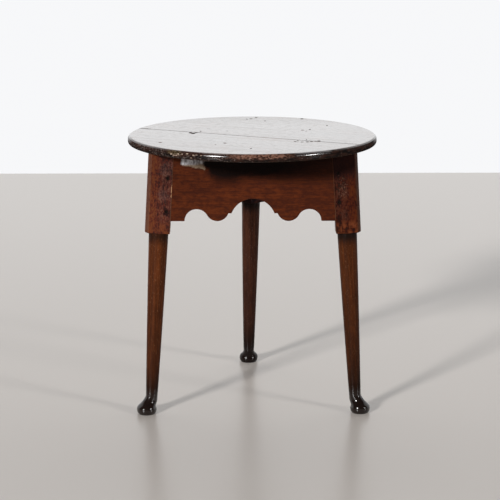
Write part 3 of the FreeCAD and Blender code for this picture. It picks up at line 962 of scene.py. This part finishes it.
PEG_OAK = peg_oak()
peg_pattern = whittled_peg(PEG_RADIUS, PEG_LENGTH - TENON_PEG_SUNK)
for frieze_name, frieze_angle in FRIEZE_ANGLES.items():
    for end, place in FRIEZE_ENDS.items():
        for level in TENON_PEGS[end]:
            node_name = "_".join(("tenon_peg", frieze_name, end, level))
            point = place @ peg_frame(end, level, PEG_LENGTH)
            driven = Matrix.Rotation(frieze_angle, 4, "Z") @ point
            peg = copied(peg_pattern, "oak_" + node_name, driven)
            dress(peg, PEG_OAK, node_name)
bpy.data.objects.remove(peg_pattern)

# Top
# Two oak boards, butted on a joint that slants across the round top and dowelled together. The rim
# is rounded over, more above than below, and knocked and chipped by use.
TOP_RADIUS = 0.316
RIM_ROUND_UPPER = 0.009
RIM_ROUND_LOWER = 0.006
RIM_LINE = 0.0006
BOARD_JOINT_ANGLE = math.radians(-26)
BOARD_JOINT_OFFSET = 0.037
BOARD_JOINT_GAP = 0.0004
BOARD_JOINT_WEAR = {-1: (0.0028, 0.0005), 1: (0.0008, 0.0010)}
TOP_SIDES = 288
GOUGE_RAGGEDNESS = 0.22
TOP_HOLLOWS = [
    ((-0.158, 0.021), (0.0046, 0.0085, 0.0036), 0),
    ((-0.151, 0.012), (0.0060, 0.0090, 0.0036), 8),
    ((-0.143, 0.022), (0.0046, 0.0070, 0.0024), -15),
    ((-0.132, 0.047), (0.0024, 0.0055, 0.0014), 0),
    ((0.105, -0.122), (0.0034, 0.0050, 0.0020), 20),
    ((0.112, -0.111), (0.0030, 0.0045, 0.0018), 0),
    ((0.122, -0.130), (0.0040, 0.0050, 0.0020), -15),
    ((0.134, -0.096), (0.0018, 0.0060, 0.0018), 0),
    ((0.135, -0.128), (0.0046, 0.0060, 0.0024), 10),
    ((0.145, -0.125), (0.0050, 0.0050, 0.0020), -20),
    ((0.156, -0.118), (0.0050, 0.0050, 0.0022), -10),
    ((0.164, -0.115), (0.0046, 0.0070, 0.0030), 0),
    ((-0.006, -0.227), (0.0022, 0.0055, 0.0014), 0),
    ((-0.092, -0.167), (0.0016, 0.0040, 0.0009), 0),
    ((-0.064, 0.050), (0.0020, 0.0040, 0.0008), 0),
    ((0.150, 0.075), (0.0028, 0.0060, 0.0016), 10),
    ((0.139, 0.046), (0.0018, 0.0040, 0.0009), 0),
    ((0.198, 0.143), (0.0022, 0.0060, 0.0013), -10),
    ((0.137, 0.262), (0.0046, 0.0070, 0.0014), 0),
    ((0.014, 0.290), (0.0034, 0.0060, 0.0013), 20),
    ((-0.011, 0.258), (0.0026, 0.0055, 0.0012), 0),
    ((0.037, 0.226), (0.0024, 0.0050, 0.0009), -20),
    ((-0.272, 0.0895), (0.018, 0.0042, 0.0036), -26),
]
RIM_CHIPS = [
    (-39.0, 0.0104, (0.0014, 0.0030, 0.0022)),
    (-37.6, 0.0080, (0.0013, 0.0042, 0.0016)),
    (-36.2, 0.0084, (0.0013, 0.0036, 0.0016)),
    (-35.0, 0.0116, (0.0013, 0.0026, 0.0024)),
    (-33.0, 0.0128, (0.0010, 0.0016, 0.0026)),
    (-30.4, 0.0148, (0.0009, 0.0036, 0.0012)),
    (-28.4, 0.0056, (0.0009, 0.0030, 0.0012)),
    (-27.2, 0.0126, (0.0010, 0.0030, 0.0015)),
    (-25.9, 0.0140, (0.0009, 0.0020, 0.0012)),
    (-23.6, 0.0130, (0.0009, 0.0026, 0.0012)),
]
DOWEL_RADIUS = 0.005
DOWEL_LENGTH = 0.080
DOWEL_PLACES = {"left": -0.180, "middle": 0, "right": 0.180}
TOP_PEG_PLACES = {
    **{"leg_" + name: (angle, LEG_PEG_CIRCLE_RADIUS, 0) for name, angle in LEG_ANGLES.items()},
    **{
        "frieze_" + name: (angle, FRIEZE_MIDDLE, FRIEZE_PEG_PLACES[name])
        for name, angle in FRIEZE_ANGLES.items()
    },
}
BOARD_FRAME = (
    Matrix.Rotation(BOARD_JOINT_ANGLE, 4, "Z")
    @ Matrix.Translation((0, -BOARD_JOINT_OFFSET, (FRAME_TOP + TABLE_HEIGHT) / 2))
)


def round_top():
    """The whole round top with its rounded rim."""
    bpy.ops.mesh.primitive_circle_add(
        vertices=TOP_SIDES, radius=TOP_RADIUS, fill_type="NGON", location=(0, 0, FRAME_TOP)
    )
    top = settle("top")
    edit(top)
    bpy.ops.mesh.extrude_region_move(TRANSFORM_OT_translate={"value": (0, 0, TABLE_HEIGHT - FRAME_TOP)})
    pick_edges(top, at_height(TABLE_HEIGHT))
    bpy.ops.mesh.bevel(offset=RIM_ROUND_UPPER, segments=8, affect="EDGES")
    pick_edges(top, at_height(FRAME_TOP))
    bpy.ops.mesh.bevel(offset=RIM_ROUND_LOWER, segments=6, affect="EDGES")
    face_outward()
    return top


def paint_rim(board, slot):
    """Give the rim of a board the finish in a slot of its own."""
    edit(board)
    bpy.ops.mesh.select_mode(type="FACE")
    bpy.ops.mesh.select_all(action="DESELECT")
    mesh = bmesh.from_edit_mesh(board.data)
    for face in mesh.faces:
        if FRAME_TOP + RIM_LINE < face.calc_center_median().z < TABLE_HEIGHT - RIM_LINE:
            face.select_set(True)
    bmesh.update_edit_mesh(board.data)
    board.active_material_index = slot
    bpy.ops.object.material_slot_assign()
    leave()


def board_dowel_hole(place):
    """A hole for a dowel across the joint of the boards."""
    across = Matrix.Translation((place, 0, 0)) @ Matrix.Rotation(math.radians(90), 4, "X")
    return bored_hole(DOWEL_RADIUS, DOWEL_LENGTH, BOARD_FRAME @ across)


def rim_radius(height):
    """How far the rim is from the table's axis at a height above the top's underside."""
    rise = max(0, height - (TABLE_HEIGHT - FRAME_TOP - RIM_ROUND_UPPER))
    return TOP_RADIUS - RIM_ROUND_UPPER + math.sqrt(RIM_ROUND_UPPER ** 2 - rise ** 2)


def gouge(place, size, turn, seed):
    """An uneven lump of a size, to be cut out of a board where the wood has broken away."""
    bpy.ops.mesh.primitive_ico_sphere_add(subdivisions=2, radius=1)
    lump = bpy.context.object
    edit(lump)
    bpy.ops.transform.vertex_random(offset=GOUGE_RAGGEDNESS, seed=seed)
    leave()
    scale = Matrix.Diagonal((*size, 1))
    return settle("gouge", Matrix.Translation(place) @ Matrix.Rotation(turn, 4, "Z") @ scale)


def board_shape(side, finishes):
    """The front board (side -1) or the back board (side 1), with its wear."""
    board = round_top()
    board.data.materials.append(finishes["polished"])
    board.data.materials.append(finishes["rim"])
    paint_rim(board, 1)
    inward = BOARD_FRAME.to_3x3() @ Vector((0, side, 0))
    edge = BOARD_FRAME.translation + inward * BOARD_JOINT_GAP / 2
    saw(board, edge, -inward)
    arris = edge + UP * (TABLE_HEIGHT - edge.z)
    width, depth = BOARD_JOINT_WEAR[side]
    saw(board, arris - UP * depth, UP * width - inward * depth)
    for place in DOWEL_PLACES.values():
        combine(board, board_dowel_hole(place), "DIFFERENCE")
    for peg_place in TOP_PEG_PLACES.values():
        combine(board, top_peg_hole(*peg_place), "DIFFERENCE")
    for seed, (place, size, turn) in enumerate(TOP_HOLLOWS):
        hollow = gouge(Vector((*place, TABLE_HEIGHT)), size, math.radians(turn), seed)
        hollow.data.materials.append(finishes["hollow"])
        combine(board, hollow, "DIFFERENCE")
    for seed, (angle, height, size) in enumerate(RIM_CHIPS):
        turn = math.radians(angle - 90)
        outward = Vector((math.cos(turn), math.sin(turn), 0))
        chip = gouge(outward * rim_radius(height) + UP * (FRAME_TOP + height), size, turn, seed)
        chip.data.materials.append(finishes["bare"])
        combine(board, chip, "DIFFERENCE")
    smooth(board)
    return board


TOP_BROWN = (0.092, 0.032, 0.0120)
TOP_LIGHT = (0.185, 0.074, 0.0290)
TOP_DARK = (0.026, 0.0095, 0.0050)
RIM_BLACK = (0.008, 0.0052, 0.0046)
RIM_BROWN = (0.034, 0.0150, 0.0105)
RIM_TAN = (0.245, 0.1200, 0.0820)
RIM_OLIVE = (0.100, 0.0680, 0.0280)
RIM_GREY = (0.190, 0.1480, 0.1320)
RIM_LIP_EDGE = (-0.010, -0.004)
RIM_WORN_EDGE = (-0.014, -0.006)
RIM_GLOSS_EDGE = (-0.0092, -0.0062)
RIM_TAN_PLACE = (0.014, 0.095)
RIM_OLIVE_PLACE = (-0.192, 0.022)
RIM_GLOSS_PLACES = ((-0.091, 0.034, 0.55), (0.143, 0.050, 0.9))
RIM_END_GLOSSES = (
    ((0.18, 0.26), (-0.0040, -0.0022), 0.8),
    ((0.298, 0.314), (-0.0120, -0.0040), 0.7),
)
HOLLOW_BLACK = (0.012, 0.008, 0.006)
HOLLOW_BROWN = (0.060, 0.032, 0.018)
CHIP_PALE = (0.520, 0.410, 0.320)
CHIP_BROWN = (0.180, 0.105, 0.070)
RAW_BROWN = (0.070, 0.043, 0.026)


def top_oak(name, shift):
    """Polished oak of one board of the top: grain along the joint, and a raw underside."""
    material, finish = new_finish("top_oak_" + name, IOR=1.5, Coat_IOR=1.65, Coat_Roughness=0.08)
    own = finish.place(BOARD_FRAME.translation, (0, 0, BOARD_JOINT_ANGLE))
    drawn = finish.shifted(own, shift)
    height = finish.parts(own)[2]
    streaks = finish.patches(drawn, (0.25, 0.010, 0.02), 5, 0.6)
    fibres = finish.patches(drawn, (0.04, 0.0018, 0.003), 2)
    mottle = finish.patches(drawn, (0.06, 0.05, 0.05), 5, 0.6)
    tone = streaks * 0.5 + fibres * 0.2 + mottle * 0.3
    pores = finish.patches(drawn, (0.020, 0.004, 0.01), 4, 0.65)
    far = finish.parts(finish.place())[1].between(0.10, 0.30)
    dull = pores.between(0.50, 0.68) * 0.55 + streaks.between(0.48, 0.68) * 0.25 + far * 0.22
    raw = height.between(0, -0.001)
    colour = finish.coats(
        TOP_DARK,
        (tone.between(0.36, 0.5), TOP_BROWN),
        (tone.between(0.48, 0.66), TOP_LIGHT),
        (raw, raw_oak(finish, streaks, RAW_BROWN)),
    )
    finish.surface(
        Base_Color=colour,
        Roughness=0.12 + tone * 0.1 + raw * 0.5,
        Coat_Weight=(1 - raw) * (1.16 - dull),
        Normal=finish.bump(streaks * 0.5 + fibres * 0.5, 0.00012),
    )
    return material


def rim_oak(name, shift):
    """The rim, black with old wax, rubbed brown along its upper edge and scuffed grey in spots."""
    material, finish = new_finish(
        "rim_oak_" + name, Coat_IOR=2.0, Coat_Roughness=0.2, Specular_IOR_Level=0
    )
    own = finish.place((0, 0, TABLE_HEIGHT), (0, 0, 0))
    x, y, z = finish.parts(own)
    drawn = finish.shifted(own, shift)
    stains = finish.patches(drawn, (0.024, 0.024, 0.007), 5, 0.6)
    specks = finish.patches(drawn, (0.006, 0.006, 0.003), 4, 0.65)
    lip = (z + (specks - 0.5) * 0.006).between(*RIM_LIP_EDGE)
    colour = finish.coats(
        RIM_BLACK,
        (stains.between(0.40, 0.62), RIM_BROWN),
        (lip * stains.between(0.35, 0.55), RIM_BROWN),
    )
    front = y.between(0, -0.1)
    worn = (z + (specks - 0.5) * 0.012).between(*RIM_WORN_EDGE) * specks.between(0.39, 0.59)
    for shade, (middle, reach) in ((RIM_TAN, RIM_TAN_PLACE), (RIM_OLIVE, RIM_OLIVE_PLACE)):
        near = abs(x - middle).between(reach, reach * 0.4) * front
        colour = finish.mix(near * worn, colour, shade)
    knocked = x.between(0.02, -0.10) * front
    colour = finish.mix((specks + knocked * 0.07).between(0.60, 0.70) * 0.7, colour, RIM_GREY)
    gloss = abs(x).between(0.24, 0.18) * 0.05
    for middle, reach, shine in RIM_GLOSS_PLACES:
        near = abs(x - middle).between(reach, reach * 0.7)
        gloss = gloss + near * z.between(*RIM_GLOSS_EDGE) * shine
    ends = 0.03
    for aside, level, shine in RIM_END_GLOSSES:
        ends = ends + abs(x).between(*aside) * z.between(*level) * shine
    finish.surface(
        Base_Color=colour,
        Roughness=0.55 - stains * 0.2,
        Coat_Weight=gloss * front + ends,
        Normal=finish.bump(stains * 0.12 + specks * (0.03 + knocked * 0.8), 0.00025),
    )
    return material


def broken_oak(name, dark, light):
    """Rough oak where a board is split, holed or chipped."""
    material, finish = new_finish(name, IOR=1.5, Specular_IOR_Level=0.1)
    own = finish.place(BOARD_FRAME.translation, (0, 0, BOARD_JOINT_ANGLE))
    fibres = finish.patches(own, (0.008, 0.0015, 0.0015), 4, 0.6)
    finish.surface(
        Base_Color=finish.mix(fibres.between(0.4, 0.6), dark, light),
        Roughness=0.85 - fibres * 0.2,
        Normal=finish.bump(fibres, 0.0006),
    )
    return material


HOLLOW_OAK = broken_oak("hollow_oak", HOLLOW_BLACK, HOLLOW_BROWN)
BARE_OAK = broken_oak("bare_oak", CHIP_BROWN, CHIP_PALE)
for count, (board_name, side) in enumerate({"front": -1, "back": 1}.items()):
    polished = top_oak(board_name, count)
    finishes = {
        "polished": polished,
        "rim": rim_oak(board_name, count),
        "hollow": HOLLOW_OAK,
        "bare": BARE_OAK,
    }
    board_shape(side, finishes)
    board = settle("oak_top_%s_board" % board_name)
    dress(board, polished, "top_%s_board" % board_name)

# Board dowels
# Three hidden dowels across the joint keep the two boards of the top level with each other. They
# are straight oak rods, left bare.
DOWEL_LIGHT = (0.330, 0.215, 0.120)
DOWEL_DARK = (0.200, 0.120, 0.060)


def dowel_oak():
    """Bare oak, with its grain along the dowel."""
    material, finish = new_finish("dowel_oak", IOR=1.5)
    own = finish.place((0, 0, 0), (0, 0, BOARD_JOINT_ANGLE))
    fibres = finish.patches(own, (0.0012, 0.04, 0.0012), 4, 0.6)
    finish.surface(
        Base_Color=finish.mix(fibres.between(0.35, 0.65), DOWEL_DARK, DOWEL_LIGHT),
        Roughness=0.85 - fibres * 0.2,
        Normal=finish.bump(fibres, 0.0002),
    )
    return material


DOWEL_OAK = dowel_oak()
for dowel_name in DOWEL_PLACES:
    dowel = bpy.data.objects["board_dowel_" + dowel_name]
    dowel.data.materials.clear()
    dowel.data.materials.append(DOWEL_OAK)

# Top pegs
# Six pegs driven down through the boards, one into each leg and one into each frieze, and trimmed
# off at the polished top. Some have sunk a hair below it since.
TOP_PEGS_SUNK = {
    "leg_back": 0.0006,
    "leg_front_left": 0.0010,
    "leg_front_right": 0,
    "frieze_left": 0,
    "frieze_front": 0.0010,
    "frieze_right": 0.0006,
}


def polished_peg_oak():
    """End grain of a peg that is level with the top and polished with it."""
    material, finish = new_finish("polished_peg_oak", IOR=1.5, Coat_Roughness=0.08, Coat_Weight=1)
    own = finish.place()
    pores = finish.patches(own, (0.0008, 0.0008, 0.0008), 3, 0.6)
    finish.surface(
        Base_Color=finish.mix(pores.between(0.4, 0.65), TOP_DARK, TOP_BROWN),
        Roughness=0.12 + pores * 0.1,
    )
    return material


POLISHED_PEG_OAK = polished_peg_oak()
for peg_name, sunk in TOP_PEGS_SUNK.items():
    whittled_peg(TOP_PEG_RADIUS, TOP_PEG_LENGTH - sunk)
    peg_angle, peg_radius, sideways = TOP_PEG_PLACES[peg_name]
    point = Vector((peg_radius, sideways, FRAME_TOP - TOP_PEG_DEPTH))
    point = Matrix.Rotation(peg_angle, 4, "Z") @ point
    peg = settle("oak_top_peg_" + peg_name, Matrix.Translation(point))
    dress(peg, PEG_OAK if sunk else POLISHED_PEG_OAK, "top_peg_" + peg_name)

# Floor, backdrop and lamps
# A pale floor that ends at a white backdrop behind the table, and two lamps in front of it, the
# stronger one to the left. The backdrop is the world's own light, and the rest of the world is dark.
FLOOR_BACK = 3.3
FLOOR_REACH = 10.0
FLOOR_COLOUR = (0.625, 0.572, 0.526)
FLOOR_PAINTED_LIGHT_COLOUR = (0.724, 0.674, 0.629)
FLOOR_PAINTED_LIGHT_START = -0.8
BACKDROP_FOOT_COLOUR = (0.93, 0.935, 0.95)
BACKDROP_COLOUR = (0.985, 0.992, 1.0)
BACKDROP_FOOT_RISE = 0.06
BACKDROP_EDGE = (0.30, 0.48)
MIRRORED_BACKDROP_EDGE = (-0.05, 0.15)
ROOM_COLOUR = (0.04, 0.04, 0.042)
LAMPS = {
    "left": {"turn": -36, "rise": 20, "power": 2.85, "spread": 8},
    "right": {"turn": 57, "rise": 20, "power": 1.0, "spread": 10},
}

bpy.ops.mesh.primitive_plane_add(size=1)
floor = settle("floor")
edit(floor)
bpy.ops.transform.resize(
    value=(2 * FLOOR_REACH, FLOOR_REACH + FLOOR_BACK, 1), center_override=(0, 0, 0)
)
bpy.ops.transform.translate(value=(0, (FLOOR_BACK - FLOOR_REACH) / 2, 0))
leave()
floor_material, floor_finish = new_finish("floor", Roughness=0.28)
floor_place = floor_finish.parts(floor_finish.place())
# Painted light: the floor is painted lighter toward the backdrop.
floor_painted_light = floor_place[1].between(FLOOR_PAINTED_LIGHT_START, FLOOR_BACK)
floor_finish.surface(Base_Color=floor_finish.mix(floor_painted_light, FLOOR_COLOUR, FLOOR_PAINTED_LIGHT_COLOUR))
floor.data.materials.append(floor_material)

for lamp_name, lamp in LAMPS.items():
    rise = math.radians(lamp["rise"])
    turn = math.radians(lamp["turn"])
    toward = Vector((math.sin(turn) * math.cos(rise), -math.cos(turn) * math.cos(rise), math.sin(rise)))
    bpy.ops.object.light_add(type="SUN", rotation=toward.to_track_quat("Z", "Y").to_euler())
    bpy.context.object.name = "lamp_" + lamp_name
    bpy.context.object.data.angle = math.radians(lamp["spread"])
    bpy.context.object.data.energy = lamp["power"]

world = bpy.data.worlds.new("room")
bpy.context.scene.world = world
room = Finish(world)
sight = room.node("ShaderNodeTexCoord", {}, {}, "Generated")
seen = room.node("ShaderNodeLightPath", {}, {}, "Is Camera Ray")
through = room.node("ShaderNodeLightPath", {}, {}, "Is Transmission Ray")
reflected = room.node("ShaderNodeLightPath", {}, {}, "Is Glossy Ray")
back, up = room.parts(sight)[1:]
lit = seen + through + reflected * back.between(*MIRRORED_BACKDROP_EDGE) + back.between(*BACKDROP_EDGE)
backdrop = room.mix(up.between(0, BACKDROP_FOOT_RISE), BACKDROP_FOOT_COLOUR, BACKDROP_COLOUR)
room_light = room.mix(lit.between(0, 1), ROOM_COLOUR, backdrop)
room.feed(room.tree.nodes["Background"], {"Color": room_light, "Strength": 1})

bpy.context.scene.view_settings.view_transform = "Standard"
